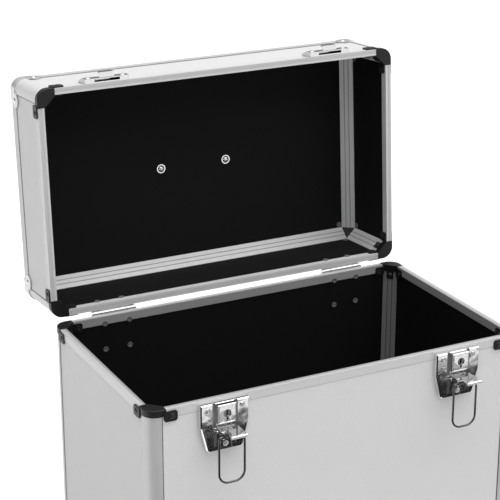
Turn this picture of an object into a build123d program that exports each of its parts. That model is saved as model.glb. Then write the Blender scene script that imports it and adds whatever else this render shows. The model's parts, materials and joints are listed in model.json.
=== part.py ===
from build123d import *
import os
from math import atan2, degrees, hypot, sqrt

# Record carrying case: a tall base box, a hinged lid, two loop latches and a folding handle.
# Frame: X to the right, Y to the back, Z up; origin on the floor under the centre of the box.
# Lengths are in millimetres. The lid is built closed and then opened to its rest angle.

# ---- driving dimensions: the box ----
CASE_W = 378.0           # over the side extrusions
CASE_D = 220.0           # over the front and back extrusions
BASE_H = 272.0           # base box, underside to rim
LID_H = 82.5             # lid box, rim to top
FOOT_H = 5.0             # the feet hold the box this far off the floor
RIM_GAP = 1.2            # between the two rims when the lid is shut
LID_OPEN = 94.0          # degrees from shut to the hinge stop

# ---- wall layers, from the outside in ----
FLANGE_T = 0.6           # flange of every extrusion, outside and inside
BOARD_T = 4.0            # faced board
LINING_T = 0.8           # black lining sheet
WALL_IN = FLANGE_T + BOARD_T + LINING_T      # outer face to the lining's face
WALL_T = WALL_IN + FLANGE_T                  # whole wall at the rim

PAST = 1.0               # how far a cut runs past the face it starts from

# ---- extrusions ----
CORNER_R = 11.0          # outer rounding of posts and edges
BOARD_END = 11.5         # corner to the end of a board
POST_LEG = 13.0          # outer leg of a vertical post
EDGE_LEG = 20.0          # outer leg of a top or bottom edge
STRIP_END = 16.0         # corner to where the inner strip meets a wall
STRIP_WEB = 1.4          # thickness of the inner strip
CHANNEL_T = 1.0          # thickness of the walls that hold the boards' ends
STRIP_GROOVE = 0.5       # depth of its two grooves
GROOVE_W = 0.9
SKIN_T = 1.8             # thickness of the rounded outer skin
EDGE_CUT = 16.0          # posts and edges stop this far from a three-way corner
RIM_WEB = 1.5            # thickness of the rim's flat top
RIM_OUT = 7.5            # height of the rim's outer flange
RIM_IN = 8.0             # height of the rim's inner flange
RIM_CUT = 17.0           # rims stop this far from a corner
RIM_GROOVE = 0.35        # depth of the line along the rim's face

# ---- black rim corners ----
CAP_OUT = 0.6            # stands proud of the walls outside
CAP_IN = 1.0             # and inside
CAP_H = 6.0              # height below the rim plane
CAP_RISE = 0.4           # height above it
CAP_ROUND = 0.9          # rounding of its top outer edge
TAB_T = 1.4              # thickness of the riveted tabs
TAB_START = 14.8         # corner to the near edge of an outer tab
TAB_END = 27.2           # corner to its far edge
TAB_TOP = 1.8            # below the rim plane
TAB_BOTTOM = 11.2
TAB_CHAMFER = 1.4
INNER_TAB_START = 0.4    # past the end of the inner strip
INNER_TAB_END = 26.0
TAB_RIVET = 22.4         # corner to the rivet
TAB_RIVET_Z = 6.4
TONGUE_W = 7.0           # third tab, on the inner strip
TONGUE_T = 1.2
TONGUE_DROP = 14.0
TONGUE_RIVET = 10.4      # below the rim plane

# ---- black blocks inside the three-way corners ----
BLOCK_RISE = 2.0         # how far the slanted face stands past the three strips

# ---- pressed metal corners ----
SHELL_T = 0.85
SHELL_SEAT = 0.05        # fit over the extrusions
SHELL_LEG = 20.0
PETAL_R = 7.5
PETAL_AT = 19.5          # corner to the petal's rivet, both ways

# ---- rivets ----
RIVET_HEAD_R = 2.7
RIVET_HEAD_H = 1.1
RIVET_SHANK_R = 1.6
RIVET_TAIL_R = 2.7
RIVET_TAIL_H = 0.9
HOLE_CLEAR = 0.05

# ---- feet ----
FOOT_R = 11.0
FOOT_TAPER = 1.5
FOOT_INSET = 36.0
FOOT_SCREW_R = 1.75
FOOT_SCREW_HEAD_R = 3.6
FOOT_SCREW_HEAD_H = 2.0
FOOT_SCREW_SINK = 1.0    # head below the foot's sole

# ---- hinges ----
HINGE_INSET = 62.2       # side of the box to the middle of a hinge
HINGE_W = 44.0
HINGE_BACK = 3.0         # pin axis behind the back face
KNUCKLE_R = 2.7
PIN_R = 1.5
PIN_CLEAR = 0.06
PIN_FIXED = 0.02
PIN_HEAD_R = 2.1
PIN_HEAD_L = 1.2
LEAF_T = 1.2
LEAF_BASE_H = 40.0
LEAF_LID_H = 17.5
LEAF_R = 3.0             # rounded lower corners
LEAF_TOP = 2.4           # leaf face starts this far from the pin axis
KNUCKLE_END_W = 8.5      # each of the two outer knuckles
KNUCKLE_GAP = 0.4
KNUCKLE_ROOM = 0.3       # round a turning knuckle, in the other leaf
HINGE_RIVET_X = 12.7
HINGE_RIVET_HIGH = 7.0   # below the base rim
HINGE_RIVET_LOW = 33.8
HINGE_RIVET_LID = 8.4   # above the lid rim

# ---- latches ----
LATCH_INSET = 69.8       # side of the box to the middle of a latch
PLATE_W = 46.0
PLATE_TOP = 1.5          # below the base rim
PLATE_SHOULDER = 23.0
PLATE_BOTTOM = 47.0
PLATE_FOOT_W = 35.0
PLATE_RISE = 5.5         # face of the plate in front of the wall
PLATE_T = 1.2
PLATE_BEVEL = 1.0        # round the plate's face
PLATE_CUT = 2.0          # cut corners of its foot
NOTCH_END = 24.5
NOTCH_W = 3.3
SLOT_X = 9.6
SLOT_W = 2.6
SLOT_TOP = 29.5
SLOT_BOTTOM = 42.5
PLATE_RIVET_X = 16.3
PLATE_RIVET_Z = 7.6
PLATE_RIVET_LOW = 40.5
PLATE_BOSS_R = 4.4       # raised ring under the low rivet
PLATE_BOSS_H = 0.7
LOCK_W = 17.6
LOCK_TOP = 2.0
LOCK_BOTTOM = 19.6
LOCK_FACE = 10.2
LOCK_ROUND = 1.4
KEY_Z = 10.4
BARREL_R = 3.68
BARREL_CLEAR = 0.07
BARREL_ROOM = 0.3        # round the barrel in the plate
BARREL_SINK = 0.9
BARREL_BACK = 1.6
KEYWAY_W = 1.6
KEYWAY_L = 4.6
KEYWAY_DEEP = 3.0
KEYHOLE_W = 1.9
KEYHOLE_DROP = 2.1
CAM_L = 7.0
CAM_W = 4.0
CAM_T = 1.3
PIVOT_OUT = 8.6          # lever pin in front of the wall
PIVOT_Z = 27.0           # below the base rim
EAR_X = 6.4
EAR_T = 1.2
EAR_R = 2.2
LEVER_PIN_R = 1.2
LEVER_PIN_END = 0.6      # past each cheek
LEVER_W = 18.8
CHEEK_T = 1.4
CHEEK_R = 2.3
LEVER_T = 1.2
LEVER_LIFT = 0.2         # between the ears and the lever's plate
LEVER_HOLE_R = 1.1
LEVER_HOLE_AT = 3.2      # in front of the pin
LEVER_TAIL = 1.2
LEVER_L = 24.0
THUMB_AT = 12.4          # pin to the step up to the thumb plate
THUMB_W = 14.6
THUMB_RISE = 2.2
NOSE_R = 1.5
LOOP_ARM = 9.8           # lever pin to loop bar, along the lever
LOOP_DROP = 1.0          # loop bar below the lever pin
LOOP_BOSS_R = 2.0
WIRE_R = 1.0
WIRE_CLEAR = 0.06
LOOP_HALF = 12.2         # centre line of the loop to its leg's
LOOP_L = 44.0
LOOP_END_R = 9.0
LOOP_TOP_R = 2.0
LOOP_BUTT = 0.4
LEVER_SHUT_OUT = 7.8     # loop bar in front of the wall when the lever is shut
HOOKED_OUT = 6.7         # loop's end in front of the wall when it is hooked

# ---- keepers on the lid ----
KEEPER_W = 44.4
KEEPER_LOW = 0.8         # above the lid rim
KEEPER_H = 22.0
KEEPER_T = 1.2
KEEPER_ROUND = 8.0
LUG_W = 9.4              # solid lug at each side of the mouth
LUG_OUT = 4.6
LUG_FLAT = 8.6           # height of the flat front, before it slopes back to the plate
LUG_H = 17.4
LUG_RIVET_Z = 5.2
MOUTH_SHEET = 0.9        # sheet that bridges the mouth between the lugs
HOOK_W = 15.4
HOOK_T = 1.4
HOOK_NECK_T = 2.6
HOOK_NECK_R = 2.4        # its upper corners follow the loop's round end
HOOK_GAP = 0.5           # between the wire and the hook's lip
HOOK_SLACK = 0.7         # between the wire and the hook's neck
HOOK_LIP = 6.0
HOOK_LIP_R = 5.6         # rounded end of the lip
HOOK_ROUND = 0.6

# ---- handle on the lid ----
HANDLE_W = 132.0
HANDLE_BASE_D = 28.0
HANDLE_BASE_H = 5.0
HANDLE_BASE_R = 6.0      # corners of the base
HANDLE_EDGE_R = 1.5      # rounding of its top edge
HANDLE_EAR_W = 8.0
HANDLE_EAR_R = 5.2
HANDLE_AXIS = 10.2       # pivot above the lid's board
HANDLE_GAP = 0.5         # between arm and ear
ARM_W = 7.0
ARM_R = 4.8
GRIP_REACH = 37.0        # pivot to the middle of the grip
GRIP_D = 17.0
GRIP_T = 13.0
GRIP_ROUND = 5.0
HANDLE_PIN_R = 2.5
HANDLE_PIN_OUT = 0.6     # inside the arm
HANDLE_PIN_WALL = 1.5    # left of the ear past the pin's end
HANDLE_SCREW_X = 36.3
SCREW_R = 2.5
SCREW_HEAD_R = 3.7
SCREW_HEAD_H = 2.2
SCREW_BITE = 4.0
WASHER_R = 4.6
WASHER_T = 1.0
CROSS_W = 1.1
CROSS_L = 4.2
CROSS_DEEP = 1.5

# ---- derived places ----
HX = CASE_W / 2
HY = CASE_D / 2
HINGE_X = HX - HINGE_INSET
LATCH_X = HX - LATCH_INSET
Z0 = FOOT_H
Z_RIM = Z0 + BASE_H
Z_LID = Z_RIM + RIM_GAP
Z_TOP = Z_LID + LID_H
HINGE_Y = HY + HINGE_BACK
HINGE_Z = Z_RIM + RIM_GAP / 2
LEVER_PIN_Y = -HY - PIVOT_OUT
LEVER_PIN_Z = Z_RIM - PIVOT_Z
LOOP_Y = LEVER_PIN_Y - LOOP_ARM
LOOP_Z = LEVER_PIN_Z - LOOP_DROP
LOOP_REACH = hypot(LOOP_ARM, LOOP_DROP)
# Turn that brings the loop bar from its open place to the stated distance from the wall.
LEVER_TURN = degrees(atan2(sqrt(LOOP_REACH**2 - (PIVOT_OUT - LEVER_SHUT_OUT) ** 2),
                           LEVER_SHUT_OUT - PIVOT_OUT) - atan2(LOOP_DROP, LOOP_ARM))
LOOP_SHUT_Z = LEVER_PIN_Z - sqrt(LOOP_REACH**2 - (PIVOT_OUT - LEVER_SHUT_OUT) ** 2)
LOOP_HOOK_Z = LOOP_SHUT_Z + sqrt(LOOP_L**2 - (LEVER_SHUT_OUT - HOOKED_OUT) ** 2)
HANDLE_Z0 = Z_TOP - FLANGE_T
HANDLE_AXIS_Z = HANDLE_Z0 + HANDLE_AXIS


def save(name, *solids):
    """Write one node; several solids become one group."""
    flat = [s for piece in solids for s in piece.solids()]
    shape = flat[0] if len(flat) == 1 else Compound(children=flat)
    shape.label = name
    export_step(shape, f"parts/{name}.step")


# ---- small builders ----
def block(x, y, z):
    """A box between three pairs of coordinates."""
    size = [abs(b - a) for a, b in (x, y, z)]
    centre = [(a + b) / 2 for a, b in (x, y, z)]
    return Pos(*centre) * Box(*size)


def along_x(section, x):
    """A section drawn in Y and Z, run from x[0] to x[1]."""
    return extrude(Plane.YZ.offset(x[0]) * section, x[1] - x[0])


def along_y(section, y):
    """A section drawn in X and Z, run from y[0] to y[1]."""
    return extrude(Plane.XZ.offset(-y[1]) * section, y[1] - y[0])


def along_z(section, z):
    """A section drawn in X and Y, run from z[0] to z[1]."""
    return extrude(Plane.XY.offset(z[0]) * section, z[1] - z[0])


def polygon(*points):
    """A face from its corners."""
    return make_face(Polyline(*points, close=True))


def rod(start, end, radius):
    """A round bar between two points."""
    a = Vector(*start)
    b = Vector(*end)
    return extrude(Plane(a, z_dir=b - a) * Circle(radius), (b - a).length)


def flip_x(shape):
    return mirror(shape, about=Plane.YZ)


def flip_y(shape):
    return mirror(shape, about=Plane.XZ)


def four(shape):
    """The shape at all four corners of the box."""
    pair = [shape, flip_x(shape)]
    return pair + [flip_y(s) for s in pair]


def to_lid(shape):
    """From the base's corner of the box to the same corner of the lid, upside down."""
    return mirror(shape, about=Plane.XY.offset((Z_RIM + Z_LID) / 2))


def opened(shape):
    """Turn a piece of the shut lid about the hinge pins to the open rest pose."""
    axis = Axis((0, HINGE_Y, HINGE_Z), (1, 0, 0))
    return shape.rotate(axis, -LID_OPEN)


def drilled(shape, holes):
    """Take the rivet and screw holes out of a piece."""
    box = shape.bounding_box()
    near = [h for h in holes if touches(box, h.bounding_box())]
    return shape - near if near else shape


def touches(a, b):
    """Whether two bounding boxes meet."""
    return all(p < q for p, q in zip(tuple(a.min), tuple(b.max))) and all(
        p < q for p, q in zip(tuple(b.min), tuple(a.max)))


# ---- fasteners ----
def rivet(face, outward, grip):
    """A domed rivet: the head on the outer face, the shank through the grip, the tail inside."""
    seat = Plane(Vector(*face), z_dir=Vector(*outward))
    dome_r = (RIVET_HEAD_R**2 + RIVET_HEAD_H**2) / (2 * RIVET_HEAD_H)
    head = Pos(0, 0, RIVET_HEAD_H - dome_r) * Sphere(dome_r)
    head = head & Pos(0, 0, RIVET_HEAD_H / 2) * Cylinder(RIVET_HEAD_R, RIVET_HEAD_H)
    shank = Pos(0, 0, -grip / 2) * Cylinder(RIVET_SHANK_R, grip)
    tail = Pos(0, 0, -grip - RIVET_TAIL_H / 2) * Cylinder(RIVET_TAIL_R, RIVET_TAIL_H)
    dimple = Pos(0, 0, -grip - RIVET_TAIL_H) * Sphere(RIVET_TAIL_R / 2)
    return seat * (head + shank + tail - dimple)


def rivet_hole(face, outward, grip):
    """The hole for that rivet."""
    seat = Plane(Vector(*face), z_dir=Vector(*outward))
    return seat * Pos(0, 0, -grip / 2) * Cylinder(RIVET_SHANK_R + HOLE_CLEAR, grip)


def rivets(places):
    """Rivets and their holes at a list of (face, outward, grip)."""
    return [rivet(*p) for p in places], [rivet_hole(*p) for p in places]


def mirrored_places(places, x=False, y=False):
    """The same rivets on the opposite side."""
    sx = -1 if x else 1
    sy = -1 if y else 1
    return [((f[0] * sx, f[1] * sy, f[2]), (o[0] * sx, o[1] * sy, o[2]), g) for f, o, g in places]


def at_four_corners(places):
    """Rivets of one corner, repeated at all four."""
    both = places + mirrored_places(places, x=True)
    return both + mirrored_places(both, y=True)


def lid_places(places):
    """Rivets of a base corner, carried over to the lid."""
    z_sum = Z_RIM + Z_LID
    return [((f[0], f[1], z_sum - f[2]), (o[0], o[1], -o[2]), g) for f, o, g in places]


# ---- sections ----
def corner_section(leg):
    """Corner extrusion, drawn with the outer corner at (0, 0) and the box at +, +."""
    lip = STRIP_END
    k = STRIP_GROOVE / sqrt(2)
    third = (STRIP_END - WALL_T) / 3
    half = GROOVE_W / sqrt(2) / 2
    front = [(lip, WALL_IN), (lip, WALL_T)]
    for n in (1, 2):
        x = lip - n * third
        y = WALL_T + n * third
        front += [(x + half, y - half), (x + half - k, y - half - k)]
        front += [(x - half - k, y + half - k), (x - half, y + half)]
    front += [(WALL_T, lip), (WALL_IN, lip)]
    path = [(FLANGE_T, BOARD_END), (WALL_IN, BOARD_END)] + front[::-1]
    path += [(BOARD_END, WALL_IN), (BOARD_END, FLANGE_T), (leg, FLANGE_T), (leg, 0), (CORNER_R, 0)]
    mid = CORNER_R * (1 - 1 / sqrt(2))
    edges = [Line(a, b) for a, b in zip(path, path[1:])]
    edges.append(ThreePointArc((CORNER_R, 0), (mid, mid), (0, CORNER_R)))
    edges += [Line((0, CORNER_R), (0, leg)), Line((0, leg), (FLANGE_T, leg))]
    edges.append(Line((FLANGE_T, leg), (FLANGE_T, BOARD_END)))
    return make_face(edges) - corner_hollow()


def corner_hollow():
    """The closed chamber inside the corner extrusion."""
    rib = BOARD_END - CHANNEL_T
    back = WALL_IN + CHANNEL_T
    far = STRIP_END + WALL_T - STRIP_WEB * sqrt(2) - STRIP_GROOVE - back
    bend = CORNER_R - (CORNER_R - SKIN_T) / sqrt(2)
    outline = [(rib, SKIN_T), (rib, back), (far, back), (back, far), (back, rib), (SKIN_T, rib)]
    edges = [Line(a, b) for a, b in zip(outline, outline[1:])]
    edges.append(ThreePointArc((SKIN_T, rib), (bend, bend), (rib, SKIN_T)))
    return make_face(edges)


def rim_section():
    """Rim channel over the wall, drawn with the outer top corner at (0, 0) and the wall below."""
    mid = WALL_T / 2
    half = GROOVE_W / 2
    return polygon(
        (0, 0), (mid - half, 0), (mid - half, -RIM_GROOVE), (mid + half, -RIM_GROOVE), (mid + half, 0),
        (WALL_T, 0), (WALL_T, -RIM_IN), (WALL_IN, -RIM_IN), (WALL_IN, -RIM_WEB), (FLANGE_T, -RIM_WEB),
        (FLANGE_T, -RIM_OUT), (0, -RIM_OUT))


# ---- walls ----
def wall_layers(depth, thick, z):
    """One layer of the four walls: front and left, from depth to depth + thick."""
    x = HX - BOARD_END
    y = HY - BOARD_END
    front = block((-x, x), (-HY + depth, -HY + depth + thick), z)
    left = block((-HX + depth, -HX + depth + thick), (-y, y), z)
    return front, flip_y(front), left, flip_x(left)


def flat_layer(z):
    """One layer of the bottom or the top."""
    x = HX - BOARD_END
    y = HY - BOARD_END
    return block((-x, x), (-y, y), z)


# ---- corner pieces ----
def rim_corner():
    """Black cap over the front left corner of the base rim, with its three tabs."""
    inner = WALL_T + CAP_IN
    slant = STRIP_END + WALL_T + TONGUE_T * sqrt(2)
    path = [(-CAP_OUT, CORNER_R), (-CAP_OUT, RIM_CUT), (inner, RIM_CUT), (inner, slant - inner),
            (slant - inner, inner), (RIM_CUT, inner), (RIM_CUT, -CAP_OUT), (CORNER_R, -CAP_OUT)]
    bend = CORNER_R - (CORNER_R + CAP_OUT) / sqrt(2)
    edges = [Line(a, b) for a, b in zip(path, path[1:])]
    edges.append(ThreePointArc((CORNER_R, -CAP_OUT), (bend, bend), (-CAP_OUT, CORNER_R)))
    body = along_z(make_face(edges), (-CAP_H, CAP_RISE))
    outer_arc = body.faces().sort_by(Axis.Z)[-1].edges().filter_by(GeomType.CIRCLE)
    body = fillet(outer_arc, CAP_ROUND)
    wall = block((BOARD_END, RIM_CUT), (FLANGE_T, WALL_IN), (-CAP_H, -RIM_WEB))
    body = body - wall - swap_xy(wall)
    outer = chamfered_tab(TAB_START, TAB_END, -TAB_T)
    inner_tab = chamfered_tab(STRIP_END + INNER_TAB_START, INNER_TAB_END, WALL_T)
    body = body + outer + swap_xy(outer) + inner_tab + swap_xy(inner_tab)
    drop = (STRIP_END + WALL_T) / 2
    tongue = Box(TONGUE_W, TONGUE_T, TONGUE_DROP - CAP_H)
    tongue = Pos(0, TONGUE_T / 2, -(TONGUE_DROP + CAP_H) / 2) * tongue
    tongue = Pos(drop, drop, 0) * Rot(0, 0, -45) * tongue
    body = Pos(-HX, -HY, Z_RIM) * (body + tongue)
    return body


def chamfered_tab(start, end, depth):
    """A tab on the front face, with its free corners cut."""
    c = TAB_CHAMFER
    face = polygon((start, -TAB_TOP), (end - c, -TAB_TOP), (end, -TAB_TOP - c), (end, -TAB_BOTTOM + c),
                   (end - c, -TAB_BOTTOM), (start + c, -TAB_BOTTOM), (start, -TAB_BOTTOM + c))
    return along_y(face, (depth, depth + TAB_T))


def swap_xy(shape):
    """The same feature on the other wall of the corner."""
    return mirror(shape, about=Plane((0, 0, 0), z_dir=(1, -1, 0)))


def inner_corner():
    """Black block that closes the inside of the front left bottom corner."""
    cube = block((WALL_IN, EDGE_CUT), (WALL_IN, EDGE_CUT), (WALL_IN, EDGE_CUT))
    face = (2 * STRIP_END + WALL_T + BLOCK_RISE) / 3
    cut = Plane((face, face, face), z_dir=(1, 1, 1))
    return Pos(-HX, -HY, Z0) * split(cube, bisect_by=cut, keep=Keep.BOTTOM)


def metal_corner():
    """Pressed cap over the front left bottom corner, with a riveted petal on each face."""
    petals = petal_prism()
    keep = petals + swap_xy(petals) + Rot(0, 90, 0) * mirror(petals, about=Plane.YZ)
    inside = rounded_corner(SHELL_SEAT)
    outside = rounded_corner(SHELL_SEAT + SHELL_T)
    return Pos(-HX, -HY, Z0) * ((outside - inside) & keep)


def rounded_corner(grow):
    """A quarter of a rounded box, grown outwards."""
    reach = SHELL_LEG * 2
    cube = block((-grow, reach), (-grow, reach), (-grow, reach))
    edges = [e for e in cube.edges() if sum(1 for v in tuple(e.center()) if v < 0) == 2]
    return fillet(edges, CORNER_R + grow)


def petal_prism():
    """Outline of the front petal, run through the depth of the rounded edges."""
    edge = -SHELL_T - PAST
    square = polygon((edge, edge), (SHELL_LEG, edge), (SHELL_LEG, SHELL_LEG), (edge, SHELL_LEG))
    face = square + Pos(PETAL_AT, PETAL_AT) * Circle(PETAL_R)
    return along_y(face, (edge, CORNER_R))


# ---- rivet places ----
def rim_corner_places():
    """Rivets of the rim corner at the front left of the base: two through the walls, one in the strip."""
    z = Z_RIM - TAB_RIVET_Z
    grip = TAB_T + WALL_T + TAB_T
    front = ((-HX + TAB_RIVET, -HY - TAB_T, z), (0, -1, 0), grip)
    left = ((-HX - TAB_T, -HY + TAB_RIVET, z), (-1, 0, 0), grip)
    at = (STRIP_END + WALL_T) / 2 + TONGUE_T / sqrt(2)
    web = STRIP_WEB + STRIP_GROOVE / sqrt(2)
    strip = ((-HX + at, -HY + at, Z_RIM - TONGUE_RIVET), (1, 1, 0), TONGUE_T + web)
    return [front, left, strip]


def metal_corner_places():
    """Rivets of the metal corner at the front left of the base."""
    out = SHELL_T + SHELL_SEAT
    grip = out + WALL_IN
    front = ((-HX + PETAL_AT, -HY - out, Z0 + PETAL_AT), (0, -1, 0), grip)
    left = ((-HX - out, -HY + PETAL_AT, Z0 + PETAL_AT), (-1, 0, 0), grip)
    under = ((-HX + PETAL_AT, -HY + PETAL_AT, Z0 - out), (0, 0, -1), grip)
    return [front, left, under]


# ---- hinges ----
def hinge_leaf(height, knuckles):
    """A leaf on the back wall, drawn for the base: plate down from the pin, with its knuckles."""
    w = HINGE_W / 2
    face = polygon((-w, -LEAF_TOP), (w, -LEAF_TOP), (w, -height), (-w, -height))
    face = fillet(face.vertices().sort_by(Axis.Y)[:2], LEAF_R)
    plate = along_y(face, (HY, HY + LEAF_T))
    plate = Pos(0, 0, HINGE_Z) * plate
    leaf = plate
    for a, b in knuckles:
        leaf += block((a, b), (HY, HY + LEAF_T), (HINGE_Z - LEAF_TOP, HINGE_Z))
        leaf += rod((a, HINGE_Y, HINGE_Z), (b, HINGE_Y, HINGE_Z), KNUCKLE_R)
    return leaf


def hinge_pieces():
    """Base leaf, lid leaf and pin of one hinge, centred on x = 0."""
    w = HINGE_W / 2
    inner = w - KNUCKLE_END_W
    ends = [(-w, -inner), (inner, w)]
    middle = [(-inner + KNUCKLE_GAP, inner - KNUCKLE_GAP)]
    base = hinge_leaf(LEAF_BASE_H, ends)
    base -= rod((-w, HINGE_Y, HINGE_Z), (w, HINGE_Y, HINGE_Z), PIN_R + PIN_FIXED)
    base -= knuckle_room(middle[0])
    lid = hinge_leaf(LEAF_LID_H, middle)
    lid -= rod((-w, HINGE_Y, HINGE_Z), (w, HINGE_Y, HINGE_Z), PIN_R + PIN_CLEAR)
    for span in ends:
        lid -= knuckle_room(span)
    lid = mirror(lid, about=Plane.XY.offset(HINGE_Z))
    pin = rod((-w, HINGE_Y, HINGE_Z), (w, HINGE_Y, HINGE_Z), PIN_R)
    for end, head in ((-w, -w - PIN_HEAD_L), (w, w + PIN_HEAD_L)):
        pin += rod((end, HINGE_Y, HINGE_Z), (head, HINGE_Y, HINGE_Z), PIN_HEAD_R)
    return base, lid, pin


def knuckle_room(span):
    """Space that a turning knuckle of the other leaf needs."""
    low = span[0] - KNUCKLE_GAP
    high = span[1] + KNUCKLE_GAP
    return rod((low, HINGE_Y, HINGE_Z), (high, HINGE_Y, HINGE_Z), KNUCKLE_R + KNUCKLE_ROOM)


def hinge_places(x):
    """Rivets of one hinge: four in the base leaf, two in the lid leaf."""
    grip = LEAF_T + WALL_T
    y = HY + LEAF_T
    base = [((x + s * HINGE_RIVET_X, y, Z_RIM - d), (0, 1, 0), grip)
            for s in (-1, 1) for d in (HINGE_RIVET_HIGH, HINGE_RIVET_LOW)]
    lid = [((x + s * HINGE_RIVET_X, y, Z_LID + HINGE_RIVET_LID), (0, 1, 0), grip) for s in (-1, 1)]
    return base, lid


# ---- latches, built centred on x = 0 ----
def latch_outline(inset):
    """Outline of the latch plate, drawn in X and Z from the rim plane."""
    w = PLATE_W / 2 - inset
    foot = PLATE_FOOT_W / 2 - inset
    top = -PLATE_TOP - inset
    low = -PLATE_BOTTOM + inset
    cut = PLATE_CUT
    return polygon((-w, top), (w, top), (w, -PLATE_SHOULDER), (foot, low + cut), (foot - cut, low),
                   (-foot + cut, low), (-foot, low + cut), (-w, -PLATE_SHOULDER))


def latch_plate():
    """Pressed plate: a shallow pan with notches for the loop, slots, and the lever's two ears."""
    out = -HY - PLATE_RISE
    through = (out - PAST, out + PLATE_T + PAST)
    pan = along_y(latch_outline(0), (out, -HY))
    pan = chamfer(pan.faces().sort_by(Axis.Y)[0].edges(), PLATE_BEVEL)
    pan -= along_y(latch_outline(PLATE_T), (out + PLATE_T, -HY))
    for s in (-1, 1):
        notch = sorted((s * LOCK_W / 2, s * (LOCK_W / 2 + NOTCH_W)))
        pan -= block(notch, through, (-NOTCH_END, 0))
        slot = sorted((s * (SLOT_X - SLOT_W / 2), s * (SLOT_X + SLOT_W / 2)))
        pan -= block(slot, through, (-SLOT_BOTTOM, -SLOT_TOP))
        ear_x = sorted((s * EAR_X, s * (EAR_X + EAR_T)))
        ear = block(ear_x, (-HY - PIVOT_OUT, out), (-PIVOT_Z - EAR_R, -PIVOT_Z + EAR_R))
        ear += rod((ear_x[0], -HY - PIVOT_OUT, -PIVOT_Z), (ear_x[1], -HY - PIVOT_OUT, -PIVOT_Z), EAR_R)
        pan += ear
    pan += rod((0, out - PLATE_BOSS_H, -PLATE_RIVET_LOW), (0, out, -PLATE_RIVET_LOW), PLATE_BOSS_R)
    reach = EAR_X + EAR_T + PAST
    pan -= rod((-reach, -HY - PIVOT_OUT, -PIVOT_Z), (reach, -HY - PIVOT_OUT, -PIVOT_Z),
               LEVER_PIN_R + PIN_FIXED)
    pan -= rod((0, through[0], -KEY_Z), (0, through[1], -KEY_Z), BARREL_R + BARREL_ROOM)
    return Pos(0, 0, Z_RIM) * pan


def latch_lock_plate():
    """Raised block with the keyhole."""
    w = LOCK_W / 2
    face = block((-w, w), (-HY - LOCK_FACE, -HY - PLATE_RISE), (-LOCK_BOTTOM, -LOCK_TOP))
    face = fillet(face.faces().sort_by(Axis.Y)[0].edges(), LOCK_ROUND)
    back = -HY - PLATE_RISE + PAST
    front = -HY - LOCK_FACE - PAST
    face -= rod((0, front, -KEY_Z), (0, back, -KEY_Z), BARREL_R + BARREL_CLEAR)
    half = KEYHOLE_W / 2
    face -= block((-half, half), (front, back), (-KEY_Z - BARREL_R - KEYHOLE_DROP, -KEY_Z))
    return Pos(0, 0, Z_RIM) * face


def latch_barrel():
    """Lock barrel with its keyway, and the cam that it turns behind the plate."""
    front = -HY - LOCK_FACE + BARREL_SINK
    back = -HY - BARREL_BACK
    body = rod((0, front, -KEY_Z), (0, back, -KEY_Z), BARREL_R)
    half = KEYWAY_W / 2
    slot_z = (-KEY_Z - KEYWAY_L / 2, -KEY_Z + KEYWAY_L / 2)
    body -= block((-half, half), (front - PAST, front + KEYWAY_DEEP), slot_z)
    cam_z = (-KEY_Z - CAM_W / 2, -KEY_Z + CAM_W / 2)
    body += block((0, CAM_L), (back - CAM_T, back), cam_z)
    return Pos(0, 0, Z_RIM) * body


def latch_lever():
    """Lever: a plate with two cheeks on the pin, and the bore for the loop's bar."""
    lift = EAR_R + LEVER_LIFT
    w = LEVER_W / 2
    y = -HY - PIVOT_OUT
    z = -PIVOT_Z
    step = y - THUMB_AT
    lever = block((-w, w), (step, y + LEVER_TAIL), (z + lift, z + lift + LEVER_T))
    thumb = THUMB_W / 2
    raised = z + lift + THUMB_RISE
    lever += block((-thumb, thumb), (step, step + LEVER_T), (z + lift, raised + LEVER_T))
    lever += block((-thumb, thumb), (y - LEVER_L, step), (raised, raised + LEVER_T))
    nose_z = raised + LEVER_T - NOSE_R
    lever += rod((-thumb, y - LEVER_L, nose_z), (thumb, y - LEVER_L, nose_z), NOSE_R)
    for s in (-1, 1):
        x = sorted((s * (w - CHEEK_T), s * w))
        loop_y = y - LOOP_ARM
        loop_z = z - LOOP_DROP
        profile = polygon((y + LEVER_TAIL, z + lift), (y + CHEEK_R, z), (y, z - CHEEK_R),
                          (loop_y, loop_z - LOOP_BOSS_R), (loop_y - LOOP_BOSS_R, loop_z),
                          (step, z + lift))
        cheek = along_x(profile, x)
        cheek += rod((x[0], y, z), (x[1], y, z), CHEEK_R)
        cheek += rod((x[0], loop_y, loop_z), (x[1], loop_y, loop_z), LOOP_BOSS_R)
        lever += cheek
    bore = w + PAST
    lever -= rod((-bore, y, z), (bore, y, z), LEVER_PIN_R + PIN_CLEAR)
    loop_bar = [(x, y - LOOP_ARM, z - LOOP_DROP) for x in (-bore, bore)]
    lever -= rod(*loop_bar, WIRE_R + WIRE_CLEAR)
    hole_y = y - LEVER_HOLE_AT
    lever -= rod((0, hole_y, z), (0, hole_y, z + lift + LEVER_T + PAST), LEVER_HOLE_R)
    return Pos(0, 0, Z_RIM) * lever


def latch_pin():
    """Pin of the lever, held in the ears."""
    w = LEVER_W / 2 + LEVER_PIN_END
    return rod((-w, LEVER_PIN_Y, LEVER_PIN_Z), (w, LEVER_PIN_Y, LEVER_PIN_Z), LEVER_PIN_R)


def latch_loop():
    """Wire loop hanging from the lever; its two ends meet in a butt joint at the bottom."""
    x = LOOP_HALF
    gap = LOOP_BUTT / 2
    points = [(gap, -LOOP_L), (x, -LOOP_L), (x, 0), (-x, 0), (-x, -LOOP_L), (-gap, -LOOP_L)]
    radii = [LOOP_END_R, LOOP_TOP_R, LOOP_TOP_R, LOOP_END_R]
    path = Plane.XZ * FilletPolyline(*points, radius=radii)
    ring = sweep(Plane(path @ 0, z_dir=path % 0) * Circle(WIRE_R), path=path)
    return Pos(0, LOOP_Y, LOOP_Z) * ring


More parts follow.
